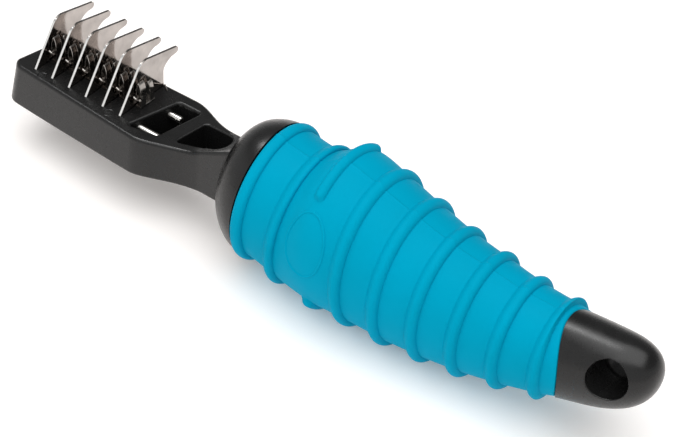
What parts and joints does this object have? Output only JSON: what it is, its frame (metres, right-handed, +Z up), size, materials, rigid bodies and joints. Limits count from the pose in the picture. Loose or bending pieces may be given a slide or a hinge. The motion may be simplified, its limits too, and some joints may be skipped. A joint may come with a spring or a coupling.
{
  "type": "undercoat rake",
  "caption": "Hand-held pet undercoat rake: hooked steel blades standing across a black head on an oval, ribbed rubber grip with a drilled tail.",
  "frame": {"origin": "centre of the bounding box at its base, on the plane the belly ribs stand on", "axes": "+X from the bladed head to the drilled tail, +Z up the blades, +Y to the side the blade hooks point to"},
  "size_m": [0.181, 0.0358, 0.0433],
  "materials": {
    "black_plastic": "moulded, satin top faces and finely textured sides",
    "grip_rubber": "matte over-moulded cyan rubber",
    "blade_steel": "polished stainless sheet with ground edges",
    "clip_steel": "bright spring steel",
    "rod_steel": "drawn bright rod"
  },
  "bodies": {
    "root": {"rake_head": "black_plastic", "handle_core": "black_plastic", "grip_sleeve": "grip_rubber", "blade_1": "blade_steel", "blade_2": "blade_steel", "blade_3": "blade_steel", "blade_4": "blade_steel", "blade_5": "blade_steel", "blade_6": "blade_steel", "blade_clip_1": "clip_steel", "blade_clip_2": "clip_steel", "blade_clip_3": "clip_steel", "blade_clip_4": "clip_steel", "blade_clip_5": "clip_steel", "blade_clip_6": "clip_steel", "blade_rod_near": "rod_steel", "blade_rod_far": "rod_steel", "tang_pin": "rod_steel"}
  },
  "joints": []
}
